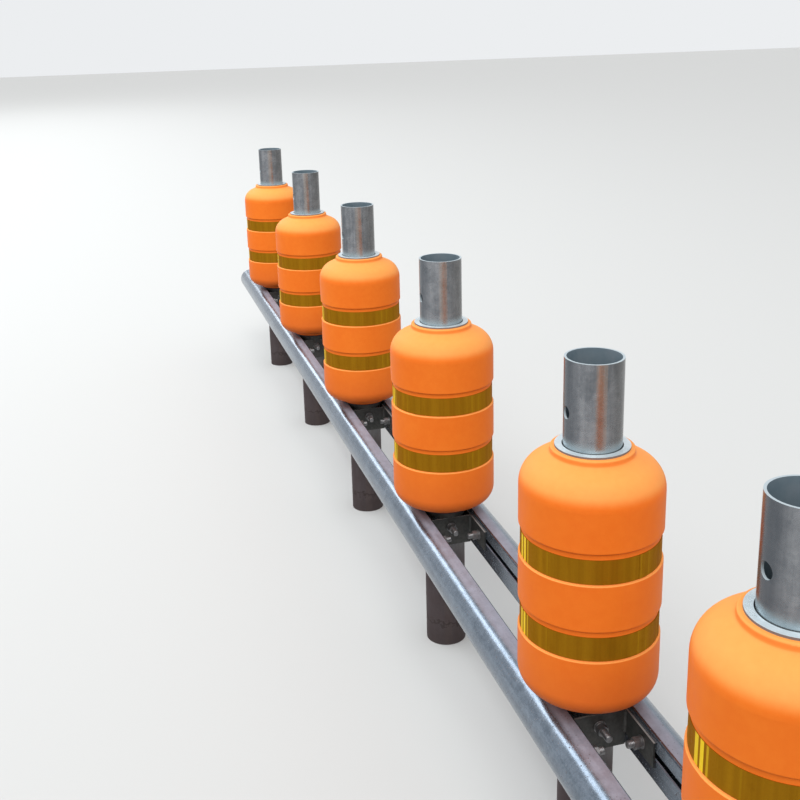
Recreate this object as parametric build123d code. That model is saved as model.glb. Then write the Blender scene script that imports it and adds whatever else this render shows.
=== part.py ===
from build123d import *
import os
from math import radians, tan

# A roadside guardrail with a foam roller on each post, six bays long, in millimetres.
# X runs along the row, Y across it with the road on the -Y side, and Z up from the ground.
# The origin lies in the foot of the first post's wall, on the row's centre line.

# Posts: round steel tubes, open at the top
POST_OD = 114.0
POST_WALL = 4.5
POST_ABOVE_ROLLER = 175.0
CROSS_HOLE_R = 13.0
CROSS_HOLE_ABOVE_ROLLER = 70.0

# The row: equal bays, then a short one at the near end
POST_COUNT = 6
BAY = 930.0
SHORT_BAY = 636.0
RAIL_OVERHANG = 465.0

# Rollers: a foam barrel on a steel sleeve with a flange at each end
BARREL_R = 141.5
BARREL_HEIGHT = 531.0
BARREL_ABOVE_RAILS = 10.0
NECK_R = 82.0
NECK_HEIGHT = 13.0
NECK_EDGE_R = 4.0
NECK_FILLET_R = 7.0
SHOULDER_SLOPE = 25.0
SHOULDER_R = 60.0
BASE_SLOPE = 15.0
BASE_NECK_HEIGHT = 9.0
BASE_R = 45.0
SLEEVE_WALL = 3.0
SLEEVE_PLAY = 2.0
FOAM_FIT = 0.3
FLANGE_R = 73.0
BASE_FLANGE_R = 76.0
FLANGE_THICKNESS = 4.0

# Reflective bands, each in its own groove
BAND_HEIGHT = 50.0
BAND_THICKNESS = 1.0
BAND_FIT = 0.2
UPPER_BAND_DROP = 172.0
BAND_PITCH = 161.0
GROOVE_DEPTH = 5.0
GROOVE_ABOVE = 9.5
GROOVE_BELOW = 2.0
GROOVE_SLOPE = 4.0
GROOVE_TOP_R = 2.5
GROOVE_FLOOR_R = 1.0
GROOVE_BOTTOM_R = 2.0

# Rails: an open channel with a round nose, its slot facing the posts and above mid-height
RAIL_TOP = 420.0
RAIL_HEIGHT = 104.0
RAIL_DEPTH = 70.0
RAIL_WALL = 3.5
RAIL_CORNER_R = 6.0
RAIL_SLOT = 18.0
SLOT_BELOW_TOP = 42.5

# Brackets: two side plates along the rails, joined by two deeper webs that hold the post
PLATE = 4.0
PLATE_LENGTH = 350.0
PLATE_HEIGHT = 56.0
WEB_HEIGHT = 82.0
RAIL_BOLT_OFFSET = 130.0
RAIL_BOLT_HOLE_R = 8.5
POST_BOLT_HOLE_R = 8.5
WELD_GAP = 0.3
RAIL_SEAT_GAP = 0.2

# Support collars: short rings that carry the rollers on the brackets
COLLAR_WALL = 3.7
BEARING_GAP = 0.3

POST_R = POST_OD / 2
FIRST_POST_X = POST_R - POST_WALL / 2
POST_X = [FIRST_POST_X + BAY * i for i in range(POST_COUNT - 1)]
POST_X.append(POST_X[-1] + SHORT_BAY)
RAIL_START = POST_X[0] - RAIL_OVERHANG
RAIL_LENGTH = POST_X[-1] + RAIL_OVERHANG - RAIL_START
BARREL_BOTTOM = RAIL_TOP + BARREL_ABOVE_RAILS
BARREL_TOP = BARREL_BOTTOM + BARREL_HEIGHT
ROLLER_TOP = BARREL_TOP + FLANGE_THICKNESS
ROLLER_BOTTOM = BARREL_BOTTOM - FLANGE_THICKNESS
POST_HEIGHT = ROLLER_TOP + POST_ABOVE_ROLLER
BAND_TOPS = [BARREL_TOP - UPPER_BAND_DROP - BAND_PITCH * i for i in range(2)]
SLEEVE_R = POST_R + SLEEVE_PLAY
SLEEVE_OUTER_R = SLEEVE_R + SLEEVE_WALL
RAIL_MIDDLE = RAIL_TOP - RAIL_HEIGHT / 2
SLOT_MIDDLE = RAIL_TOP - SLOT_BELOW_TOP
PLATE_INSIDE = POST_R + WELD_GAP
PLATE_OUTSIDE = PLATE_INSIDE + PLATE
RAIL_INSIDE = PLATE_OUTSIDE + RAIL_SEAT_GAP
BRACKET_TOP = SLOT_MIDDLE + PLATE_HEIGHT / 2


def upright(radius, bottom, top):
    """A round bar about the Z axis between two heights."""
    return Pos(0, 0, bottom) * Cylinder(radius, top - bottom, align=(Align.CENTER, Align.CENTER, Align.MIN))


def ring(inner, outer, bottom, top):
    """A ring about the Z axis between two heights."""
    return upright(outer, bottom, top) - upright(inner, bottom, top)


def make_post():
    """The tube of one post, with a hole across its top and one along the row for the bracket's bolt."""
    tube = ring(POST_R - POST_WALL, POST_R, 0, POST_HEIGHT)
    hole_height = ROLLER_TOP + CROSS_HOLE_ABOVE_ROLLER
    cross_drill = Pos(0, 0, hole_height) * Rot(90, 0, 0) * Cylinder(CROSS_HOLE_R, POST_OD * 2)
    return tube - cross_drill - post_bolt_drill()


def post_bolt_drill():
    """The drill for the bolt that holds a bracket to its post, along the row."""
    return Pos(0, 0, SLOT_MIDDLE) * Rot(0, 90, 0) * Cylinder(POST_BOLT_HOLE_R, PLATE_OUTSIDE * 4)


def groove(band_top):
    """Corner points and radii of one groove, from its top edge down."""
    floor_r = BARREL_R - GROOVE_DEPTH
    top = band_top + GROOVE_ABOVE
    bottom = band_top - BAND_HEIGHT - GROOVE_BELOW
    points = [(BARREL_R, top + GROOVE_SLOPE), (floor_r, top), (floor_r, bottom), (BARREL_R, bottom)]
    return points, [GROOVE_TOP_R, GROOVE_FLOOR_R, GROOVE_FLOOR_R, GROOVE_BOTTOM_R]


def make_barrel():
    """The foam barrel: necks, domed shoulders and two grooves, turned about the post."""
    bore = SLEEVE_OUTER_R + FOAM_FIT
    neck_foot = BARREL_TOP - NECK_HEIGHT
    shoulder = neck_foot - (BARREL_R - NECK_R) * tan(radians(SHOULDER_SLOPE))
    base_neck_foot = BARREL_BOTTOM + BASE_NECK_HEIGHT
    base = base_neck_foot + (BARREL_R - NECK_R) * tan(radians(BASE_SLOPE))
    points = [(bore, BARREL_TOP), (NECK_R, BARREL_TOP), (NECK_R, neck_foot), (BARREL_R, shoulder)]
    radii = [NECK_EDGE_R, NECK_FILLET_R, SHOULDER_R]
    for band_top in BAND_TOPS:
        corners, corner_radii = groove(band_top)
        points += corners
        radii += corner_radii
    points += [(BARREL_R, base), (NECK_R, base_neck_foot), (NECK_R, BARREL_BOTTOM), (bore, BARREL_BOTTOM)]
    radii += [BASE_R, NECK_FILLET_R, NECK_EDGE_R]
    outline = FilletPolyline([(r, 0, z) for r, z in points], radius=radii)
    axis_side = Line((bore, 0, BARREL_BOTTOM), (bore, 0, BARREL_TOP))
    section = make_face(outline.edges() + axis_side.edges())
    return revolve(section, Axis.Z)


def make_liner():
    """The steel sleeve that turns on the post, with a flange over each end of the foam."""
    sleeve = ring(SLEEVE_R, SLEEVE_OUTER_R, BARREL_BOTTOM, BARREL_TOP)
    top = ring(SLEEVE_R, FLANGE_R, BARREL_TOP, ROLLER_TOP)
    bottom = ring(SLEEVE_R, BASE_FLANGE_R, ROLLER_BOTTOM, BARREL_BOTTOM)
    return sleeve + top + bottom


def make_bands():
    """The two reflective bands, wrapped on the floors of their grooves."""
    inner = BARREL_R - GROOVE_DEPTH + BAND_FIT
    outer = inner + BAND_THICKNESS
    return [ring(inner, outer, top - BAND_HEIGHT, top) for top in BAND_TOPS]


def make_collar():
    """The ring that stands on the bracket and carries the roller."""
    return ring(PLATE_INSIDE, PLATE_INSIDE + COLLAR_WALL, BRACKET_TOP, ROLLER_BOTTOM - BEARING_GAP)


def make_bracket():
    """Two side plates for the rails and the two webs that clasp the post, with their bolt holes."""
    middle = PLATE_INSIDE + PLATE / 2
    web_middle = BRACKET_TOP - WEB_HEIGHT / 2
    plate = Box(PLATE_LENGTH, PLATE, PLATE_HEIGHT)
    web = Box(PLATE, PLATE_INSIDE * 2, WEB_HEIGHT)
    bracket = Pos(0, middle, SLOT_MIDDLE) * plate + Pos(0, -middle, SLOT_MIDDLE) * plate
    bracket = bracket + Pos(middle, 0, web_middle) * web + Pos(-middle, 0, web_middle) * web
    rail_drill = Rot(90, 0, 0) * Cylinder(RAIL_BOLT_HOLE_R, PLATE_OUTSIDE * 4)
    for end in (-1, 1):
        bracket -= Pos(end * RAIL_BOLT_OFFSET, 0, SLOT_MIDDLE) * rail_drill
    return bracket - post_bolt_drill()


def make_rail():
    """The rear rail: a slotted channel whose outer side is a half round."""
    nose_r = RAIL_HEIGHT / 2
    box_depth = RAIL_DEPTH - nose_r
    back = Rectangle(box_depth, RAIL_HEIGHT, align=(Align.MIN, Align.CENTER))
    back = fillet(back.vertices().group_by(Axis.X)[0], RAIL_CORNER_R)
    nose = Circle(nose_r) & Rectangle(nose_r, RAIL_HEIGHT, align=(Align.MIN, Align.CENTER))
    outer = back + Pos(box_depth, 0) * nose
    hollow = offset(outer, -RAIL_WALL)
    slot = Pos(0, SLOT_MIDDLE - RAIL_MIDDLE) * Rectangle(RAIL_WALL * 4, RAIL_SLOT)
    section = Pos(RAIL_INSIDE, RAIL_MIDDLE) * (outer - hollow - slot)
    return Pos(RAIL_START, 0, 0) * extrude(Plane.YZ * section, RAIL_LENGTH, dir=(1, 0, 0))


def write(name, shape):
    """Write one node, whose solids never touch each other."""
    solids = shape if isinstance(shape, list) else [shape]
    found = [solid for item in solids for solid in item.solids()]
    export_step(found[0] if len(found) == 1 else Compound(children=found), f"parts/{name}.step")


os.makedirs("parts", exist_ok=True)

post = make_post()
bracket = make_bracket()
collar = make_collar()
barrel = make_barrel()
liner = make_liner()
bands = make_bands()
for number, x in enumerate(POST_X, start=1):
    at_post = Pos(x, 0, 0)
    write(f"post_{number}", at_post * post)
    write(f"bracket_{number}", at_post * bracket)
    write(f"collar_{number}", at_post * collar)
    write(f"barrel_{number}", at_post * barrel)
    write(f"liner_{number}", at_post * liner)
    write(f"bands_{number}", [at_post * band for band in bands])

rear_rail = make_rail()
write("rear_rail", rear_rail)
write("front_rail", mirror(rear_rail, Plane.XZ))
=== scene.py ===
"""Looks of a roller guardrail: tube posts, foam rollers with bands, and two slotted rails."""

import logging
import math
from dataclasses import dataclass, replace
from enum import Enum
from typing import Any, Iterable, Sequence

import bpy
from mathutils import Matrix, Vector

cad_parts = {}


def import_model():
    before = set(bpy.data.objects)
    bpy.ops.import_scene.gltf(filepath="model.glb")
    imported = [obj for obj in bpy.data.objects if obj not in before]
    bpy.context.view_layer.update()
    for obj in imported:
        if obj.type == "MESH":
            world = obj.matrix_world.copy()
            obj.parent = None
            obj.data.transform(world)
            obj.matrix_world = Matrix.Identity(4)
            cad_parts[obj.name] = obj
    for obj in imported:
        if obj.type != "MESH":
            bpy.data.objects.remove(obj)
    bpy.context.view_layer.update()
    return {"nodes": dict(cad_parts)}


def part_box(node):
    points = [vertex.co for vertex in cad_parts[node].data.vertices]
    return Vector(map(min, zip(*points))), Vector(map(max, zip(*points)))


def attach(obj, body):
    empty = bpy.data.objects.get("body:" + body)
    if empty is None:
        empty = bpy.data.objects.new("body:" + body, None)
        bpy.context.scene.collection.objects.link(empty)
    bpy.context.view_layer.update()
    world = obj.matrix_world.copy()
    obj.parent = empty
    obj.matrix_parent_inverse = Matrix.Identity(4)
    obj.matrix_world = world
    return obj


log = logging.getLogger("guardrail")

Colour = tuple[float, float, float, float]
Point = tuple[float, float, float]

POST_NUMBERS = range(1, 7)
ROW_BODY = "row"

# How thick a bracket's plates are. All lengths here are in metres.
PLATE = 0.004

# Sockets of a Mix node that mixes colours
MIX_SHARE, MIX_FIRST, MIX_SECOND, MIX_RESULT = 0, 6, 7, 2

# The rays that show a surface. The other kinds only carry its light to other surfaces.
SHOWING_RAYS = ("Is Camera Ray", "Is Glossy Ray", "Is Transmission Ray")


def srgb(red: int, green: int, blue: int) -> Colour:
    """Turn a display colour into the linear one that shaders take.

    Args:
        red: red from 0 to 255.
        green: green from 0 to 255.
        blue: blue from 0 to 255.

    Returns:
        Linear red, green, blue and an alpha of 1.
    """

    def linear(level: float) -> float:
        """Undo the display curve of one channel."""
        return level / 12.92 if level <= 0.04045 else ((level + 0.055) / 1.055) ** 2.4

    return (linear(red / 255), linear(green / 255), linear(blue / 255), 1.0)


def heading(degrees: float) -> Point:
    """Give the level direction of a bearing, which counts from +X towards +Y."""
    turn = math.radians(degrees)
    return (math.cos(turn), math.sin(turn), 0.0)


def hang(name: str, data: bpy.types.ID) -> bpy.types.Object:
    """Put a mesh, a lamp or a camera into the scene.

    Args:
        name: the object's name.
        data: what it shows.

    Returns:
        The linked object.
    """
    made = bpy.data.objects.new(name, data)
    bpy.context.scene.collection.objects.link(made)
    return made


class Wire:
    """The output socket of a node, inside one graph."""

    def __init__(self, graph: "Graph", socket: bpy.types.NodeSocket) -> None:
        """Wrap a socket.

        Args:
            graph: the graph that owns the socket.
            socket: an output socket.
        """
        self.graph = graph
        self.socket = socket


class ValueWire(Wire):
    """A number that changes over the surface. Sums and products on it add Math nodes."""

    def _math(self, operation: str, first: Any, second: Any = None) -> "ValueWire":
        """Add one Math node.

        Args:
            operation: the Math node's operation.
            first: its first value or wire.
            second: its second value or wire, if it has one.

        Returns:
            The node's result.
        """
        inputs = {0: first} if second is None else {0: first, 1: second}
        node = self.graph.node("Math", {"operation": operation}, inputs)
        return ValueWire(self.graph, node.outputs[0])

    def __add__(self, other: Any) -> "ValueWire":
        """Add."""
        return self._math("ADD", self, other)

    def __radd__(self, other: Any) -> "ValueWire":
        """Add, with the number on the left."""
        return self._math("ADD", other, self)

    def __sub__(self, other: Any) -> "ValueWire":
        """Subtract."""
        return self._math("SUBTRACT", self, other)

    def __rsub__(self, other: Any) -> "ValueWire":
        """Subtract this from a number."""
        return self._math("SUBTRACT", other, self)

    def __mul__(self, other: Any) -> "ValueWire":
        """Multiply."""
        return self._math("MULTIPLY", self, other)

    def __rmul__(self, other: Any) -> "ValueWire":
        """Multiply, with the number on the left."""
        return self._math("MULTIPLY", other, self)

    def __truediv__(self, other: Any) -> "ValueWire":
        """Divide."""
        return self._math("DIVIDE", self, other)

    def high(self, other: Any) -> "ValueWire":
        """Take the larger of two."""
        return self._math("MAXIMUM", self, other)

    def size(self) -> "ValueWire":
        """Drop the sign."""
        return self._math("ABSOLUTE", self)

    def step(self, low: float, high: float) -> "ValueWire":
        """Rise smoothly from 0 at one level to 1 at another.

        Args:
            low: the level that gives 0.
            high: the level that gives 1, which may be the lower one.

        Returns:
            The eased mask.
        """
        flip = low > high
        inputs = {
            "Value": self,
            "From Min": min(low, high),
            "From Max": max(low, high),
            "To Min": float(flip),
            "To Max": float(not flip),
        }
        node = self.graph.node("MapRange", {"interpolation_type": "SMOOTHSTEP"}, inputs)
        return ValueWire(self.graph, node.outputs["Result"])


class VectorWire(Wire):
    """A place or direction. Products and sums on it add Vector Math nodes."""

    def _math(self, operation: str, other: Any) -> bpy.types.Node:
        """Add one Vector Math node on this and a triple or another vector wire."""
        return self.graph.node("VectorMath", {"operation": operation}, {0: self, 1: other})

    def __mul__(self, other: Any) -> "VectorWire":
        """Multiply part by part."""
        return VectorWire(self.graph, self._math("MULTIPLY", other).outputs["Vector"])

    def __add__(self, other: Any) -> "VectorWire":
        """Add part by part."""
        return VectorWire(self.graph, self._math("ADD", other).outputs["Vector"])

    def dot(self, other: Any) -> ValueWire:
        """Give the dot product with a triple or another vector wire."""
        return ValueWire(self.graph, self._math("DOT_PRODUCT", other).outputs["Value"])

    def upright(self) -> ValueWire:
        """Give the part along Z."""
        return ValueWire(self.graph, self.graph.node("SeparateXYZ", {}, {0: self}).outputs["Z"])


class ColourWire(Wire):
    """A colour that changes over the surface. It is blended with Mix nodes."""

    def blend(self, other: Any, share: ValueWire) -> "ColourWire":
        """Blend towards another colour, by a share from 0 to 1."""
        return self.graph.mix(self, other, share)


class Graph:
    """A node tree, and the only place that adds nodes to it."""

    def __init__(self, tree: bpy.types.NodeTree) -> None:
        """Take over a tree and empty it.

        Args:
            tree: the tree of a material or a world.
        """
        self.tree = tree
        self.tree.nodes.clear()

    def node(self, kind: str, settings: dict[str, Any], inputs: dict[Any, Any]) -> bpy.types.Node:
        """Add a node of any type.

        Args:
            kind: the type's name without its ShaderNode prefix.
            settings: properties, set first.
            inputs: socket names or numbers, each with a value or a wire.

        Returns:
            The new node.
        """
        made = self.tree.nodes.new("ShaderNode" + kind)
        for key, value in settings.items():
            setattr(made, key, value)
        for key, value in inputs.items():
            if isinstance(value, Wire):
                self.tree.links.new(value.socket, made.inputs[key])
            else:
                made.inputs[key].default_value = value
        return made

    def mix(self, first: Any, second: Any, share: ValueWire) -> ColourWire:
        """Mix two colours.

        Args:
            first: the colour or colour wire at 0.
            second: the colour or colour wire at 1.
            share: where between them.

        Returns:
            The mixed colour.
        """
        settings = {"data_type": "RGBA", "blend_type": "MIX", "clamp_factor": True}
        inputs = {MIX_SHARE: share, MIX_FIRST: first, MIX_SECOND: second}
        return ColourWire(self, self.node("Mix", settings, inputs).outputs[MIX_RESULT])

    def seen(self) -> ValueWire:
        """Tell the rays that show a surface from those that only carry its light on.

        Returns:
            1 for a ray from the camera, or one that was mirrored or went through glass.
        """
        path = self.node("LightPath", {}, {})
        direct, mirrored, refracted = (ValueWire(self, path.outputs[ray]) for ray in SHOWING_RAYS)
        return direct.high(mirrored).high(refracted)


class Shader(Graph):
    """The node tree of one material."""

    def __init__(self, name: str) -> None:
        """Start an empty material.

        Args:
            name: the material's name.
        """
        self.material = bpy.data.materials.new(name)
        self.material.use_nodes = True
        super().__init__(self.material.node_tree)
        self._coordinates: bpy.types.Node | None = None

    def _coordinate(self, output: str) -> VectorWire:
        """Give one output of the shared coordinate node.

        Args:
            output: the output's name.

        Returns:
            The coordinates.
        """
        if self._coordinates is None:
            self._coordinates = self.node("TexCoord", {}, {})
        return VectorWire(self, self._coordinates.outputs[output])

    def place(self) -> VectorWire:
        """Give the place on the piece at rest, in metres."""
        return self._coordinate("Object")

    def facing(self) -> VectorWire:
        """Give the direction that the surface faces, on the piece itself."""
        return self._coordinate("Normal")

    def noise(
        self, where: VectorWire, scale: float, detail: float = 3.0, rough: float = 0.55
    ) -> ValueWire:
        """Add cloudy noise.

        Args:
            where: the coordinates.
            scale: cells per metre.
            detail: octaves.
            rough: how strong the fine octaves are.

        Returns:
            A value about 0.5.
        """
        inputs = {"Vector": where, "Scale": scale, "Detail": detail, "Roughness": rough}
        return ValueWire(self, self.node("TexNoise", {}, inputs).outputs[0])

    def _mosaic(self, where: VectorWire, scale: float) -> bpy.types.Node:
        """Add a random mosaic with some cells per metre."""
        return self.node("TexVoronoi", {"feature": "F1"}, {"Vector": where, "Scale": scale})

    def cells(self, where: VectorWire, width: float) -> ValueWire:
        """Give each cell of a random mosaic its own value.

        Args:
            where: the coordinates.
            width: about how wide a cell is, in metres.

        Returns:
            A value from 0 to 1, the same all over a cell.
        """
        colour = Wire(self, self._mosaic(where, 1 / width).outputs["Color"])
        return ValueWire(self, self.node("SeparateColor", {}, {0: colour}).outputs[0])

    def specks(self, where: VectorWire, scale: float, size: float) -> ValueWire:
        """Scatter round specks that fade from half their radius outwards.

        Args:
            where: the coordinates.
            scale: specks per metre.
            size: their radius as a share of their spacing.

        Returns:
            A mask that is 1 inside a speck.
        """
        away = ValueWire(self, self._mosaic(where, scale).outputs["Distance"])
        return away.step(size, size * 0.5)

    def bump(self, height: ValueWire, depth: float, strength: float) -> VectorWire:
        """Turn a height into a normal.

        Args:
            height: the relief, about 0 to 1.
            depth: how deep a height of 1 is, in metres.
            strength: how much of it shows.

        Returns:
            The bent normal.
        """
        node = self.node("Bump", {}, {"Strength": strength, "Distance": depth, "Height": height})
        return VectorWire(self, node.outputs["Normal"])

    def finish(self, **sockets: Any) -> bpy.types.Material:
        """Close the material with a Principled surface.

        Args:
            sockets: the surface's inputs, with underscores for spaces.

        Returns:
            The finished material.
        """
        inputs = {key.replace("_", " "): value for key, value in sockets.items()}
        surface = self.node("BsdfPrincipled", {}, inputs)
        self.node("OutputMaterial", {}, {"Surface": Wire(self, surface.outputs[0])})
        return self.material


@dataclass(frozen=True)
class Skin:
    """What a finish reads at each place of a steel piece."""

    shader: Shader
    place: VectorWire
    height: ValueWire
    facing: VectorWire
    up: ValueWire
    blotch: ValueWire


@dataclass(frozen=True)
class SoilAndShade:
    """A layer in one colour: real dirt, or painted shade and highlight, by kind. Each kind tells
    where it lies.
    """

    colour: Colour

    def mask(self, skin: Skin) -> ValueWire:
        """Give how much of the zinc the layer hides, from 0 to 1."""
        raise NotImplementedError


@dataclass(frozen=True)
class RimShade(SoilAndShade):
    """Painted shade on upright faces: the dark line along a flange's rim, where it overhangs the
    foam.
    """

    share: float

    def mask(self, skin: Skin) -> ValueWire:
        """Darken the faces that look sideways."""
        return (1 - skin.up.size().step(0.3, 0.7)) * self.share


@dataclass(frozen=True)
class DustAndSheen(SoilAndShade):
    """A layer of dust on top faces, thinner in patches. On the brackets this pale layer is mostly
    a painted highlight along the top edges.
    """

    share: float
    start: float = 0.55
    full: float = 0.98
    thinning: float = 0.25

    def mask(self, skin: Skin) -> ValueWire:
        """Cover the faces by how far they look up.

        Args:
            skin: the steel below.

        Returns:
            The mask of the dust and of the painted highlight.
        """
        patches = skin.shader.noise(skin.place, scale=34.0, detail=5.0, rough=0.65)
        depth = patches.step(0.25, 0.75) * self.thinning + (1 - self.thinning)
        return skin.up.step(self.start, self.full) * depth * self.share


@dataclass(frozen=True)
class Specks(SoilAndShade):
    """Dried drops of mud that lie in clusters."""

    share: float
    drops_per_metre: float = 130.0
    drop_size: float = 0.24
    clusters_per_metre: float = 20.0

    def mask(self, skin: Skin) -> ValueWire:
        """Scatter the drops inside their clusters.

        Args:
            skin: the steel below.

        Returns:
            The drops' mask.
        """
        drops = skin.shader.specks(skin.place, self.drops_per_metre, self.drop_size)
        clusters = skin.shader.noise(skin.place, self.clusters_per_metre).step(0.42, 0.6)
        return drops * clusters * self.share


@dataclass(frozen=True)
class GrimeAndShade(SoilAndShade):
    """A dark film on everything below a ragged height: painted shade, with some grime on the
    posts.
    """

    top: float
    full: float = 0.6
    ragged: float = 0.12
    thinning: float = 0.2

    def mask(self, skin: Skin) -> ValueWire:
        """Cover what lies low.

        Args:
            skin: the steel below.

        Returns:
            The film's mask.
        """
        wander = skin.shader.noise(skin.place, scale=12.0, detail=4.0, rough=0.6) - 0.5
        film = (skin.height + wander * self.ragged).step(self.top, self.top * self.full)
        return film * (skin.blotch * self.thinning + (1 - self.thinning))


@dataclass(frozen=True)
class Mud(SoilAndShade):
    """A thin splash of mud at a foot, and the darker line that it dried to."""

    top: float
    full: float = 0.3
    splash_share: float = 0.3
    line_level: float = 0.8
    line_width: float = 0.07
    line_share: float = 0.7

    def mask(self, skin: Skin) -> ValueWire:
        """Cover the foot and draw the line.

        Args:
            skin: the steel below.

        Returns:
            The mud's mask.
        """
        wander = skin.shader.noise(skin.place, scale=40.0, detail=4.0, rough=0.7) - 0.5
        edge = skin.height + wander * self.top
        splash = edge.step(self.top, self.top * self.full) * self.splash_share
        away = (edge - self.top * self.line_level) / (self.top * self.line_width)
        return splash.high((away * away).step(1.0, 0.0) * self.line_share)


@dataclass(frozen=True)
class PaintedSideLight:
    """Painted light on one side of a tube: a band of another tone, strongest at one bearing."""

    bearing: float
    colour: Colour
    share: float
    start: float


@dataclass(frozen=True)
class Tube:
    """A post's wall: inside, cut edges, painted side shade and reflection, and a painted flange
    reflection over it.
    """

    axis: float
    radius: float
    flange_top: float
    inside: Colour = srgb(106, 124, 134)
    inside_blotch: float = 0.8
    inside_level: float = 0.35
    edge: Colour = srgb(180, 191, 196)
    edge_share: float = 0.9
    dullness: float = 0.7
    # The pale part just over the flange is a painted reflection of the flange.
    pale: Colour = srgb(176, 192, 198)
    flange_reflection_share: float = 0.68
    flange_reflection_reach: float = 0.024
    flange_reflection_end: tuple[float, float] = (0.3, 0.2)
    # Painted shade on the sides away from the light, at bearings -100 and 62, and a painted
    # reflection of the next roller at bearing -12.
    side_lights: tuple[PaintedSideLight, ...] = (
        PaintedSideLight(-100.0, srgb(76, 81, 88), share=0.85, start=0.6),
        PaintedSideLight(62.0, srgb(90, 86, 80), share=0.55, start=0.15),
        PaintedSideLight(-12.0, srgb(196, 178, 160), share=0.3, start=0.975),
    )

    def dress(
        self, skin: Skin, colour: ColourWire, light: Colour
    ) -> tuple[ColourWire, ValueWire]:
        """Colour the painted side shade and reflection, the painted reflection over the flange,
        the inside and the cut edges.

        Args:
            skin: the tube's surface.
            colour: the zinc's colour so far.
            light: the zinc's lightest tone.

        Returns:
            The colour all over, and how much of each place is dull.
        """
        scale = (1 / self.radius, 1 / self.radius, 0.0)
        # This is 1 on the outside, -1 on the inside and 0 on the cut edges
        side = ((skin.place + (-self.axis, 0.0, 0.0)) * scale).dot(skin.facing)
        inner = side.step(-0.6, -0.9)
        edge = 1 - side.size().step(0.3, 0.6)
        # Painted side shade and painted reflection
        for side_light in self.side_lights:
            streak = skin.facing.dot(heading(side_light.bearing)).step(side_light.start, 1.0)
            colour = colour.blend(side_light.colour, streak * side_light.share)
        colour = colour.blend(self.pale, self._flange_reflection_mask(skin.height) * self.flange_reflection_share)
        blotch = (skin.blotch - self.inside_level).high(0.0) * self.inside_blotch
        colour = colour.blend(skin.shader.mix(self.inside, light, blotch), inner)
        colour = colour.blend(self.edge, edge * self.edge_share)
        return colour, inner.high(edge) * self.dullness

    def _flange_reflection_mask(self, height: ValueWire) -> ValueWire:
        """Mask the painted reflection of the flange, on the part just over it.

        Args:
            height: the height of each place.

        Returns:
            A mask that fades out above the flange, and inside the roller.
        """
        top = height.step(self.flange_top + self.flange_reflection_reach, self.flange_top)
        deep, shallow = self.flange_reflection_end
        return top * height.step(self.flange_top - deep, self.flange_top - shallow)


class Grain(Enum):
    """Which way the drawn lines of a steel piece run, as a stretch of its coordinates."""

    UPRIGHT = (1.0, 1.0, 0.07)
    ALONG_ROW = (0.04, 1.0, 1.0)
    NONE = (1.0, 1.0, 1.0)


@dataclass(frozen=True)
class ZincFinish:
    """Galvanised steel: blotches, drawn lines and a faint spangle, with layers of dirt and of
    painted shade and highlight on them.
    """

    name: str
    dark: Colour
    light: Colour
    grain: Grain = Grain.NONE
    metallic: float = 0.8
    roughness: float = 0.4
    rough_spread: float = 0.3
    blotch_scale: float = 16.0
    blotch_low: float = 0.25
    blotch_high: float = 0.75
    line_scale: float = 110.0
    line_share: float = 0.35
    spangle: float = 0.006
    spangle_share: float = 0.2
    grit_scale: float = 700.0
    cover_roughness: float = 0.9
    cover_relief: float = 0.5
    cover_share: float = 0.95
    soil_and_shade_layers: tuple[SoilAndShade, ...] = ()
    tube: Tube | None = None

    def build(self) -> bpy.types.Material:
        """Build the material.

        Returns:
            The finished material.
        """
        skin = self._skin()
        shader, blotch = skin.shader, skin.blotch
        lines = shader.noise(skin.place * self.grain.value, self.line_scale)
        spangle = shader.cells(skin.place, self.spangle)
        grit = shader.noise(skin.place, self.grit_scale, detail=2.0)
        blotch_share = 1 - self.line_share - self.spangle_share
        tone = blotch.step(self.blotch_low, self.blotch_high) * blotch_share
        tone = tone + lines.step(0.3, 0.7) * self.line_share + spangle * self.spangle_share
        colour, dull_cover = self._lay_cover(skin, shader.mix(self.dark, self.light, tone))
        rough = self.roughness + (blotch - 0.5) * self.rough_spread + (grit - 0.5) * 0.12
        relief = grit * 0.35 + lines * 0.3 + spangle * 0.12 + blotch * 0.6
        metallic: Any = self.metallic
        if dull_cover is not None:
            rough = rough + dull_cover * (self.cover_roughness - self.roughness)
            relief = relief + dull_cover * self.cover_relief
            metallic = self.metallic * (1 - dull_cover * self.cover_share)
        bent = shader.bump(relief, depth=0.0006, strength=0.35)
        return shader.finish(Base_Color=colour, Metallic=metallic, Roughness=rough, Normal=bent)

    def _skin(self) -> Skin:
        """Start the material and read its surface.

        Returns:
            The surface.
        """
        shader = Shader(self.name)
        place, facing = shader.place(), shader.facing()
        blotch = shader.noise(place, self.blotch_scale, detail=4.0)
        return Skin(shader, place, place.upright(), facing, facing.upright(), blotch)

    def _lay_cover(self, skin: Skin, colour: ColourWire) -> tuple[ColourWire, ValueWire | None]:
        """Lay the tube's painted shade and reflections, its inside and cut edges, and the layers
        of dirt and painted shade over the zinc.

        Args:
            skin: the surface.
            colour: the clean zinc.

        Returns:
            The colour all over, and how much of each place is dull, if any is.
        """
        dull: ValueWire | None = None
        if self.tube:
            colour, dull = self.tube.dress(skin, colour, self.light)
        for layer in self.soil_and_shade_layers:
            mask = layer.mask(skin)
            colour = colour.blend(layer.colour, mask)
            dull = mask if dull is None else dull.high(mask)
        return colour, dull


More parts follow.
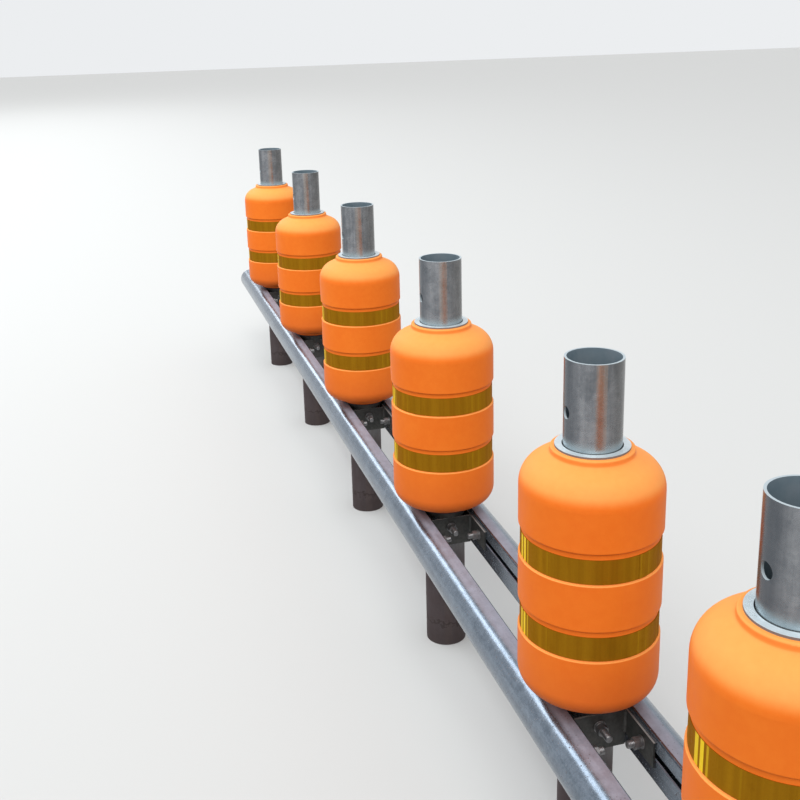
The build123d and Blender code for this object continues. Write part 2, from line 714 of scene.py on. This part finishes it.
@dataclass(frozen=True)
class FoamFinish:
    """Moulded foam skin: satin orange with pits and scuffs, a painted sheen on top and painted
    shade towards the bottom.
    """

    name: str
    body: Colour
    deep: Colour
    # The pale colour serves the painted sheen on top and the real scuffs.
    pale: Colour
    roughness: float = 0.5
    gloss: float = 0.13
    pebble: float = 0.0011
    # Painted sheen: the faces that look up, and the neck, turn pale.
    painted_sheen: float = 0.77
    painted_sheen_start: float = 0.12
    painted_sheen_full: float = 0.5
    neck_foot: float = 0.948
    neck_fade: float = 0.02
    neck_share: float = 0.55
    # Painted shade: the foam turns darker towards the bottom.
    painted_low_shade: Colour = srgb(214, 100, 44)
    low_shade_top: float = 0.62
    low_shade_fade: float = 0.2
    low_shade_share: float = 0.6
    scratch_share: float = 0.35
    pit_share: float = 0.6

    def build(self) -> bpy.types.Material:
        """Build the material.

        Returns:
            The finished material.
        """
        shader = Shader(self.name)
        place = shader.place()
        height, up = place.upright(), shader.facing().upright()
        cloud = shader.noise(place, scale=7.0)
        mottle = shader.noise(place, scale=60.0, detail=4.0, rough=0.6)
        pebbles = shader.noise(place, 1 / self.pebble, detail=2.0, rough=0.5)
        pits = shader.specks(place, scale=210.0, size=0.13)
        pits = pits * shader.noise(place, scale=9.0).step(0.5, 0.7)
        scratch = shader.noise(place * (0.25, 0.25, 1.0), scale=320.0, detail=2.0)
        scratch = scratch.step(0.66, 0.74) * shader.noise(place, scale=14.0).step(0.55, 0.72)
        tone = cloud.step(0.3, 0.75) * 0.6 + mottle.step(0.3, 0.7) * 0.4
        # Painted sheen on top and on the neck; painted shade towards the bottom.
        neck = height.step(self.neck_foot - self.neck_fade, self.neck_foot) * self.neck_share
        sheen_mask = up.step(self.painted_sheen_start, self.painted_sheen_full).high(neck)
        painted_low_shade = height.step(self.low_shade_top, self.low_shade_top - self.low_shade_fade)
        colour = shader.mix(self.deep, self.body, tone)
        colour = colour.blend(self.pale, sheen_mask * (0.85 + mottle * 0.3) * self.painted_sheen)
        colour = colour.blend(self.painted_low_shade, painted_low_shade * self.low_shade_share)
        colour = colour.blend(self.pale, scratch * self.scratch_share)
        colour = colour.blend(self.deep, pits * self.pit_share)
        rough = self.roughness + (mottle - 0.5) * 0.16 + scratch * 0.2 + up.step(0.2, 0.9) * 0.08
        relief = pebbles * 0.5 + mottle * 0.5 - pits * 0.9 - scratch * 0.25
        return shader.finish(
            Base_Color=colour,
            Roughness=rough,
            Specular_IOR_Level=self.gloss,
            Normal=shader.bump(relief, depth=0.0005, strength=0.3),
        )


@dataclass(frozen=True)
class PaintedGlint:
    """A painted glint: an upright line at one bearing on every band, standing for a highlight."""

    bearing: float
    half_width: float
    share: float

    def shine(self, facing: VectorWire) -> ValueWire:
        """Mask the painted glint.

        Args:
            facing: the direction that the band faces.

        Returns:
            How strongly the painted glint shows.
        """
        edge = math.cos(math.radians(self.half_width))
        return facing.dot(heading(self.bearing)).step(edge, (1 + edge) / 2) * self.share


@dataclass(frozen=True)
class BandFinish:
    """Prismatic reflective sheet: olive gold with small facets, and painted glints at fixed
    bearings.
    """

    name: str
    olive: Colour
    gold: Colour
    glint_colour: Colour
    metallic: float = 0.75
    roughness: float = 0.5
    gloss: float = 0.15
    grazing: Colour = srgb(206, 150, 60)
    facet: float = 0.0035
    line_count: float = 26.0
    broad_count: float = 5.72
    glint_metallic: float = 0.6
    # Painted highlights, at the same bearings on every roller.
    joints: tuple[PaintedGlint, ...] = (
        PaintedGlint(-97.0, 2.6, 0.9),
        PaintedGlint(-90.5, 2.2, 1.0),
        PaintedGlint(-85.0, 1.2, 0.45),
        PaintedGlint(-61.0, 0.7, 0.06),
        PaintedGlint(17.0, 0.6, 0.1),
        PaintedGlint(26.0, 0.5, 0.14),
        PaintedGlint(97.0, 2.4, 0.9),
        PaintedGlint(103.0, 1.2, 0.6),
        PaintedGlint(168.0, 1.8, 0.6),
    )

    def build(self) -> bpy.types.Material:
        """Build the material.

        Returns:
            The finished material.
        """
        shader = Shader(self.name)
        place, facing = shader.place(), shader.facing()
        around = facing * (1.0, 1.0, 0.0)
        lines = shader.noise(around, self.line_count, detail=2.0, rough=0.7)
        broad = shader.noise(around, self.broad_count, detail=2.0)
        facets = shader.cells(place, self.facet)
        smear = shader.noise(place * (1.0, 1.0, 0.3), scale=60.0, detail=4.0, rough=0.6)
        tone = broad.step(0.32, 0.7) * 0.75 + lines.step(0.35, 0.7) * 0.25
        # Painted glints: paler, less metallic and a little raised.
        glint_mask = self.joints[0].shine(facing)
        for glint in self.joints[1:]:
            glint_mask = glint_mask.high(glint.shine(facing))
        relief = lines * 0.4 + smear * 0.15 + glint_mask * 0.5
        return shader.finish(
            Base_Color=shader.mix(self.olive, self.gold, tone).blend(self.glint_colour, glint_mask),
            Metallic=self.metallic - glint_mask * self.glint_metallic,
            Roughness=self.roughness + smear.step(0.45, 0.75) * 0.2 + (facets - 0.5) * 0.1,
            Specular_IOR_Level=self.gloss,
            Specular_Tint=self.grazing,
            Normal=shader.bump(relief, depth=0.0005, strength=0.15),
        )


class MeshPile:
    """Rings of points joined into one mesh, piece after piece."""

    def __init__(self) -> None:
        """Start empty."""
        self.points: list[Point] = []
        self.faces: list[tuple[int, ...]] = []

    def add_rings(self, rings: Iterable[Sequence[Point]], place: Matrix) -> None:
        """Skin closed rings of equal length, one after the other, and fill both ends.

        Args:
            rings: the rings, each run anticlockwise seen from the last ring's side.
            place: where the piece goes.
        """
        first = len(self.points)
        rows = [list(ring) for ring in rings]
        count = len(rows[0])
        for row in rows:
            self.points += [tuple(place @ Vector(point)) for point in row]
        last = first + (len(rows) - 1) * count
        for low in range(first, last, count):
            high = low + count
            for step in range(count):
                after = (step + 1) % count
                self.faces.append((low + step, low + after, high + after, high + step))
        self.faces.append(tuple(first + step for step in reversed(range(count))))
        self.faces.append(tuple(last + step for step in range(count)))

    def to_object(
        self, name: str, material: bpy.types.Material, sharp_degrees: float = 32.0
    ) -> bpy.types.Object:
        """Make the object.

        Args:
            name: its name.
            material: its only material.
            sharp_degrees: edges that turn more than this stay crisp.

        Returns:
            The linked object.
        """
        mesh = bpy.data.meshes.new(name)
        mesh.from_pydata(self.points, [], self.faces)
        mesh.shade_smooth()
        mesh.set_sharp_from_angle(angle=math.radians(sharp_degrees))
        mesh.materials.append(material)
        return hang(name, mesh)


def circle(radius: float, height: float, count: int) -> list[Point]:
    """Give the points of a level circle about the Z axis."""
    turns = [2 * math.pi * step / count for step in range(count)]
    return [(radius * math.cos(turn), radius * math.sin(turn), height) for turn in turns]


@dataclass
class RailBolts:
    """A bracket's bolts: four tee bolts hold the rails, and one runs through the post."""

    material: bpy.types.Material
    offset: float = 0.130
    slot_height: float = 0.3775
    plate: float = PLATE
    lip: float = 0.0038
    shank_radius: float = 0.008
    shank_segments: int = 16
    thread_depth: float = 0.0009
    thread_pitch: float = 0.003
    thread_rows: int = 4
    sink: float = 0.001
    free_length: float = 0.032
    post_free_length: float = 0.043
    nut_across: float = 0.022
    nut_thickness: float = 0.013
    nut_chamfer: float = 0.0016
    corner_cut: float = 0.93
    washer_radius: float = 0.0137
    washer_thickness: float = 0.003
    washer_edge: float = 0.0004
    spring_radius: float = 0.0117
    spring_thickness: float = 0.0032
    spring_edge: float = 0.0009
    tee_size: tuple[float, float, float] = (0.036, 0.015, 0.008)
    tee_shoulder: float = 0.7
    tee_taper: float = 0.9
    head_thickness: float = 0.010
    segments: int = 24
    spin_steps: tuple[int, int, int] = (11, 23, 7)
    post_spin_step: int = 17

    def _shank(self, bottom: float) -> list[list[Point]]:
        """Give the rings of a plain shank that ends at the plate."""
        return [circle(self.shank_radius, z, self.shank_segments) for z in (bottom, 0.0)]

    def _nut_ring(self, height: float, limit: float) -> list[Point]:
        """Give a hexagon whose corners are cut back to a radius.

        Args:
            height: the ring's height.
            limit: the radius of the cut.

        Returns:
            The ring.
        """
        points = []
        for step in range(self.segments):
            turn = 2 * math.pi * step / self.segments
            face = (turn + math.pi / 6) % (math.pi / 3) - math.pi / 6
            radius = min(self.nut_across / 2 / math.cos(face), limit)
            points.append((radius * math.cos(turn), radius * math.sin(turn), height))
        return points

    def _thread(self, start: float, end: float) -> list[list[Point]]:
        """Give the rings of a helical thread with a pointed tip.

        Args:
            start: the height where it begins.
            end: the height where the tip begins.

        Returns:
            The rings.
        """
        rows = int((end - start) / self.thread_pitch * self.thread_rows)
        rings = []
        for row in range(rows + 1):
            height = start + (end - start) * row / rows
            ring = []
            for step in range(self.segments):
                turn = step / self.segments
                phase = (height / self.thread_pitch - turn) % 1.0
                radius = self.shank_radius - self.thread_depth * abs(2 * phase - 1)
                angle = 2 * math.pi * turn
                ring.append((radius * math.cos(angle), radius * math.sin(angle), height))
            rings.append(ring)
        tip = self.shank_radius - 2 * self.thread_depth
        return rings + [circle(tip, end + self.thread_depth, self.segments)]

    def _disc(self, radius: float, bottom: float, top: float, edge: float) -> list[list[Point]]:
        """Give the rings of a round disc with softened edges.

        Args:
            radius: its radius.
            bottom: where it begins.
            top: where it ends.
            edge: how wide its edges are.

        Returns:
            The rings.
        """
        outline = (
            (radius - edge, bottom),
            (radius, bottom + edge),
            (radius, top - edge),
            (radius - edge, top),
        )
        return [circle(wide, height, self.segments) for wide, height in outline]

    def _hexagon(self, bottom: float, top: float) -> list[list[Point]]:
        """Give the rings of a nut or a hexagon head.

        Args:
            bottom: where it begins.
            top: where it ends.

        Returns:
            The rings.
        """
        corner = self.nut_across / 2 / math.cos(math.pi / 6)
        cut = corner * self.corner_cut
        return [
            self._nut_ring(bottom, cut),
            self._nut_ring(bottom + self.nut_chamfer, corner),
            self._nut_ring(top - self.nut_chamfer, corner),
            self._nut_ring(top, cut),
        ]

    def _washer(self) -> list[list[Point]]:
        """Give the rings of the flat washer on a plate."""
        return self._disc(self.washer_radius, 0.0, self.washer_thickness, self.washer_edge)

    def _add_end(self, pile: MeshPile, place: Matrix, free_length: float) -> None:
        """Add the washer, spring washer, nut and threaded end that stand on a plate.

        Args:
            pile: where they go.
            place: the spot on the plate, with Z off it.
            free_length: how far the thread stands off the plate.
        """
        spring_top = self.washer_thickness + self.spring_thickness
        nut_top = spring_top + self.nut_thickness
        spring = (self.spring_radius, self.washer_thickness, spring_top, self.spring_edge)
        pile.add_rings(self._washer(), place)
        pile.add_rings(self._disc(*spring), place)
        pile.add_rings(self._hexagon(spring_top, nut_top), place)
        pile.add_rings(self._thread(nut_top - self.sink, free_length), place)

    def _add_tee(self, pile: MeshPile, place: Matrix) -> None:
        """Add the shank through the plate and the slot, and the tee head inside the rail.

        Args:
            pile: where they go.
            place: the spot on the plate, with Z off it.
        """
        back = -self.plate - self.lip
        pile.add_rings(self._shank(back), place)
        length, width, depth = self.tee_size
        corners = ((-length, -width), (length, -width), (length, width), (-length, width))
        outline = (
            (back - depth, self.tee_taper),
            (back - depth * self.tee_shoulder, 1.0),
            (back, 1.0),
        )
        rings = [
            [(x / 2 * shrink, y / 2 * shrink, height) for x, y in corners]
            for height, shrink in outline
        ]
        pile.add_rings(rings, place)

    def _add_post_bolt(self, pile: MeshPile, place: Matrix, across: float, spin: Matrix) -> None:
        """Add the bolt through a post, with its nut at the near end and its head at the far one.

        Args:
            pile: where it goes.
            place: the spot on the near web, with Z off it.
            across: how far apart the webs' outsides are.
            spin: how the nut is turned.
        """
        self._add_end(pile, place @ spin, self.post_free_length)
        pile.add_rings(self._shank(-across - self.sink), place)
        flip = Matrix.Rotation(math.pi, 4, "X")
        far = place @ Matrix.Translation((0.0, 0.0, -across)) @ flip
        pile.add_rings(self._washer(), far)
        head_top = self.washer_thickness + self.head_thickness
        pile.add_rings(self._hexagon(self.washer_thickness, head_top), far)

    def build(self, number: int) -> bpy.types.Object:
        """Build the five bolts of one bracket. Each nut has stopped at another angle.

        Args:
            number: the post's number.

        Returns:
            The joined bolts.
        """
        low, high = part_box(f"bracket_{number}")
        middle = (low.x + high.x) / 2
        by_post, by_end, by_side = self.spin_steps
        pile = MeshPile()
        for end in (-1, 1):
            for side in (-1, 1):
                turn = Matrix.Rotation(math.radians(90 * side), 4, "X")
                angle = math.radians(by_post * number + by_end * end + by_side * side)
                spot = (middle + end * self.offset, side * (high.y - self.plate), self.slot_height)
                place = Matrix.Translation(spot) @ turn
                self._add_end(pile, place @ Matrix.Rotation(angle, 4, "Z"), self.free_length)
                self._add_tee(pile, place)
        turn = Matrix.Rotation(math.radians(90), 4, "Y")
        near = Matrix.Translation((middle + high.y, 0.0, self.slot_height)) @ turn
        spin = Matrix.Rotation(math.radians(self.post_spin_step * number), 4, "Z")
        self._add_post_bolt(pile, near, 2 * high.y, spin)
        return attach(pile.to_object(f"bracket_bolts_{number}", self.material), ROW_BODY)


@dataclass
class BracketWelds:
    """The upright weld beads where a bracket's webs meet its side plates."""

    material: bpy.types.Material
    plate: float = PLATE
    plate_height: float = 0.056
    end_gap: float = 0.002
    leg: float = 0.005
    throat: float = 0.82
    ripple: float = 0.0004
    ripple_pitch: float = 0.0035
    tip_share: float = 0.35
    tip_slope: float = 6.0
    rows: int = 72
    segments: int = 8
    sharp_degrees: float = 50.0
    corners: tuple[tuple[int, int, int], ...] = (
        (1, -1, 0),
        (1, 1, -90),
        (-1, 1, 180),
        (-1, -1, 90),
    )

    def _bead(self, bottom: float, top: float) -> list[list[Point]]:
        """Give the rings of one bead in the corner of the X and Y axes.

        Args:
            bottom: where it begins.
            top: where it ends.

        Returns:
            The rings.
        """
        rings = []
        for row in range(self.rows + 1):
            height = bottom + (top - bottom) * row / self.rows
            swell = self.ripple * math.cos(2 * math.pi * height / self.ripple_pitch)
            from_end = min(row, self.rows - row) / self.rows
            leg = (self.leg + swell) * min(1.0, self.tip_slope * from_end + self.tip_share)
            ring = [(0.0, 0.0, height)]
            for step in range(self.segments):
                turn = math.pi / 2 * step / (self.segments - 1)
                flat = self.throat + (1 - self.throat) * abs(math.cos(2 * turn))
                ring.append((leg * flat * math.cos(turn), leg * flat * math.sin(turn), height))
            rings.append(ring)
        return rings

    def build(self, number: int) -> bpy.types.Object:
        """Build the four beads of one bracket.

        Args:
            number: the post's number.

        Returns:
            The joined beads.
        """
        low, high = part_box(f"bracket_{number}")
        middle = (low.x + high.x) / 2
        pile = MeshPile()
        bead = self._bead(high.z - self.plate_height + self.end_gap, high.z - self.end_gap)
        for x_side, y_side, degrees in self.corners:
            spot = (middle + x_side * high.y, y_side * (high.y - self.plate), 0.0)
            turn = Matrix.Rotation(math.radians(degrees), 4, "Z")
            pile.add_rings(bead, Matrix.Translation(spot) @ turn)
        made = pile.to_object(f"bracket_welds_{number}", self.material, self.sharp_degrees)
        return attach(made, ROW_BODY)


@dataclass
class BandLaps:
    """The lap where each band's two ends overlap, a sheet's thickness proud of the band."""

    material: bpy.types.Material
    height: float = 0.05
    proud: float = 0.0005
    span_degrees: float = 9.0
    steps: int = 8
    upper_bearing: int = 40
    upper_bearing_step: int = 67
    lower_bearing: int = 205
    lower_bearing_step: int = 41

    def build(self, number: int) -> bpy.types.Object:
        """Build both laps of one roller. They start at another bearing on each.

        Args:
            number: the roller's number.

        Returns:
            The joined laps.
        """
        low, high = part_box(f"bands_{number}")
        inner = (high.y - low.y) / 2
        outer = inner + self.proud
        upper = self.upper_bearing + self.upper_bearing_step * number
        lower = self.lower_bearing + self.lower_bearing_step * number
        middle = Matrix.Translation(((low.x + high.x) / 2, 0.0, 0.0))
        pile = MeshPile()
        for top, bearing in ((high.z, upper), (low.z + self.height, lower)):
            bottom = top - self.height
            corners = ((inner, bottom), (inner, top), (outer, top), (outer, bottom))
            rings = []
            for step in range(self.steps + 1):
                x, y, _ = heading(bearing + self.span_degrees * step / self.steps)
                rings.append([(x * radius, y * radius, z) for radius, z in corners])
            pile.add_rings(rings, middle)
        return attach(pile.to_object(f"band_laps_{number}", self.material), f"roller_{number}")


@dataclass
class Dressing:
    """The finishes of the frame's nodes, and of the bolts."""

    post: ZincFinish = ZincFinish(
        "post_zinc",
        srgb(98, 103, 109),
        srgb(162, 164, 168),
        Grain.UPRIGHT,
        metallic=0.75,
        roughness=0.27,
        rough_spread=0.16,
        blotch_scale=26.0,
        line_share=0.3,
        # Low on the posts the dark film is painted shade under the rails, with some grime. The mud
        # at the foot is dirt.
        soil_and_shade_layers=(GrimeAndShade(srgb(70, 56, 56), top=0.38), Mud(srgb(50, 40, 36), top=0.085)),
    )
    rail: ZincFinish = ZincFinish(
        "rail_zinc",
        srgb(90, 101, 113),
        srgb(140, 151, 164),
        Grain.ALONG_ROW,
        metallic=0.85,
        roughness=0.21,
        rough_spread=0.12,
        blotch_scale=34.0,
        blotch_low=0.12,
        blotch_high=0.88,
        line_share=0.25,
        spangle=0.004,
        spangle_share=0.3,
        soil_and_shade_layers=(
            DustAndSheen(srgb(176, 172, 186), share=0.55, start=0.93, full=0.997),
            Specks(srgb(94, 72, 56), share=0.6),
        ),
    )
    # Its dark tones stand partly for the shade it lies in under the rollers, as painted shade. The
    # pale layer on its top faces is mostly a painted highlight along the top edges.
    bracket: ZincFinish = ZincFinish(
        "bracket_zinc",
        srgb(59, 61, 59),
        srgb(95, 95, 93),
        metallic=0.6,
        roughness=0.5,
        soil_and_shade_layers=(DustAndSheen(srgb(186, 184, 180), share=0.7),),
    )
    liner: ZincFinish = ZincFinish(
        "flange_zinc",
        srgb(180, 194, 200),
        srgb(224, 232, 236),
        metallic=0.35,
        roughness=0.3,
        line_share=0.1,
        spangle=0.009,
        # The dark rim line is painted shade under the flange's edge, and the near-black film low
        # down is painted shade under the roller.
        soil_and_shade_layers=(RimShade(srgb(104, 84, 74), share=0.85), GrimeAndShade(srgb(40, 36, 34), top=0.8)),
    )
    # Its pale third colour serves the painted sheen and the scuffs.
    foam: FoamFinish = FoamFinish(
        "roller_foam", srgb(253, 131, 42), srgb(248, 121, 36), srgb(250, 168, 88)
    )
    # Its third colour is that of the painted glints.
    band: BandFinish = BandFinish(
        "reflective_sheet", srgb(148, 102, 18), srgb(170, 122, 24), srgb(255, 216, 44)
    )
    bolt: ZincFinish = ZincFinish(
        "bolt_zinc", srgb(108, 108, 111), srgb(162, 161, 161), spangle=0.002
    )

    def dress(self, nodes: dict[str, bpy.types.Object]) -> dict[str, bpy.types.Material]:
        """Give every node its material.

        Args:
            nodes: the frame's nodes by name.

        Returns:
            The materials by kind of piece.
        """
        made = {
            "rail": self.rail.build(),
            "bracket": self.bracket.build(),
            "liner": self.liner.build(),
            "barrel": self.foam.build(),
            "bands": self.band.build(),
        }
        made["collar"] = made["bracket"]
        for name, node in nodes.items():
            first, last = name.rsplit("_", 1)
            if first == "post":
                material = self._post(last).build()
            else:
                material = made[last if last == "rail" else first]
            node.data.materials.clear()
            node.data.materials.append(material)
            log.info("%s wears %s", name, material.name)
        made["bolts"] = self.bolt.build()
        return made

    def _post(self, number: str) -> ZincFinish:
        """Give one post's finish, which knows where its tube stands.

        Args:
            number: the post's number.

        Returns:
            The finish.
        """
        low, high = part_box(f"post_{number}")
        _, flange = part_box(f"liner_{number}")
        tube = Tube((low.x + high.x) / 2, (high.y - low.y) / 2, flange.z)
        return replace(self.post, name=f"post_{number}_zinc", tube=tube)


@dataclass
class Studio:
    """A pale floor, an even light from all round, and the lamps."""

    backdrop: Colour = srgb(236, 238, 240)
    sky: Colour = (0.76, 0.78, 0.81, 1.0)
    floor: Colour = srgb(198, 198, 196)
    floor_bounce: Colour = srgb(120, 116, 112)
    floor_roughness: float = 0.9
    floor_reach: float = 40.0
    floor_thickness: float = 0.02
    sun_colour: Point = (1.0, 0.985, 0.96)
    sun_strength: float = 1.6
    sun_spread_degrees: float = 40.0
    sun_bearing: Point = (0.7, -0.28, 1.0)
    strip_colour: Point = (0.93, 0.97, 1.0)
    strip_centre: Point = (-8.0, -3.2, 5.8)
    strip_size: tuple[float, float] = (24.0, 2.0)
    strip_watts: float = 620.0

    def build_world(self) -> None:
        """Make the world: one level of light, and the pale backdrop where it is seen."""
        world = bpy.data.worlds.new("studio_sky")
        world.use_nodes = True
        bpy.context.scene.world = world
        graph = Graph(world.node_tree)
        colour = graph.mix(self.sky, self.backdrop, graph.seen())
        background = graph.node("Background", {}, {"Color": colour})
        graph.node("OutputWorld", {}, {"Surface": Wire(graph, background.outputs[0])})

    def build_floor(self) -> None:
        """Make the floor, which sends less light up than it shows."""
        shader = Shader("studio_floor")
        colour = shader.mix(self.floor_bounce, self.floor, shader.seen())
        material = shader.finish(Base_Color=colour, Roughness=self.floor_roughness)
        reach = self.floor_reach
        corners = ((-reach, -reach), (reach, -reach), (reach, reach), (-reach, reach))
        pile = MeshPile()
        rings = [[(x, y, z) for x, y in corners] for z in (-self.floor_thickness, 0.0)]
        pile.add_rings(rings, Matrix.Identity(4))
        floor = pile.to_object("studio_floor", material)

    def build_lamps(self) -> None:
        """Hang the soft sun, and the long strip that the rails mirror along their crests."""
        data = bpy.data.lights.new("soft_sun", "SUN")
        data.energy = self.sun_strength
        data.angle = math.radians(self.sun_spread_degrees)
        data.color = self.sun_colour
        sun = hang("soft_sun", data)
        sun.rotation_mode = "QUATERNION"
        sun.rotation_quaternion = Vector(self.sun_bearing).to_track_quat("Z", "Y")
        data = bpy.data.lights.new("sky_strip", "AREA")
        data.shape = "RECTANGLE"
        data.size, data.size_y = self.strip_size
        data.energy = self.strip_watts
        data.color = self.strip_colour
        strip = hang("sky_strip", data)
        strip.location = self.strip_centre
        strip.rotation_euler = (math.atan2(-self.strip_centre[1], self.strip_centre[2]), 0.0, 0.0)

    def build(self) -> None:
        """Build it all."""
        self.build_world()
        self.build_floor()
        self.build_lamps()


@dataclass
class PhotoCamera:
    """The camera at the photo's viewing angle, above the near end, looking down the row."""

    position: Point = (5.51839, -0.86380, 1.75440)
    bearing_radians: float = 2.86890
    dip_radians: float = 0.27261
    lean_radians: float = 0.02705
    focal_pixels: float = 1072.3
    axis_row: float = 320.0
    picture_side: float = 800.0
    sensor: float = 36.0
    reach: float = 200.0

    def build(self) -> None:
        """Make the camera and use it."""
        bearing, dip, lean = self.bearing_radians, self.dip_radians, self.lean_radians
        level = math.cos(dip)
        ahead = Vector((level * math.cos(bearing), level * math.sin(bearing), -math.sin(dip)))
        right = ahead.cross(Vector((0, 0, 1))).normalized()
        down = ahead.cross(right)
        turned_right = math.cos(lean) * right + math.sin(lean) * down
        turned_down = -math.sin(lean) * right + math.cos(lean) * down
        data = bpy.data.cameras.new("photo_camera")
        data.sensor_width = self.sensor
        data.lens = self.focal_pixels / self.picture_side * self.sensor
        data.shift_y = (self.axis_row - self.picture_side / 2) / self.picture_side
        data.clip_end = self.reach
        camera = hang("photo_camera", data)
        turn = Matrix((turned_right, -turned_down, -ahead)).transposed().to_4x4()
        camera.matrix_world = Matrix.Translation(self.position) @ turn
        bpy.context.scene.camera = camera


def main() -> None:
    """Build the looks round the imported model."""
    logging.basicConfig(level=logging.INFO)
    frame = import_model()
    bpy.context.scene.view_settings.view_transform = "Standard"
    Studio().build()
    PhotoCamera().build()
    materials = Dressing().dress(frame["nodes"])
    bolts = RailBolts(materials["bolts"])
    welds = BracketWelds(materials["bracket"])
    laps = BandLaps(materials["bands"])
    for number in POST_NUMBERS:
        for piece, slot in (
            (bolts.build(number), "bracket_steel"),
            (welds.build(number), "bracket_steel"),
            (laps.build(number), "reflective_band"),
        ):
            log.info("built %s", piece.name)


if __name__ == "__main__":
    main()
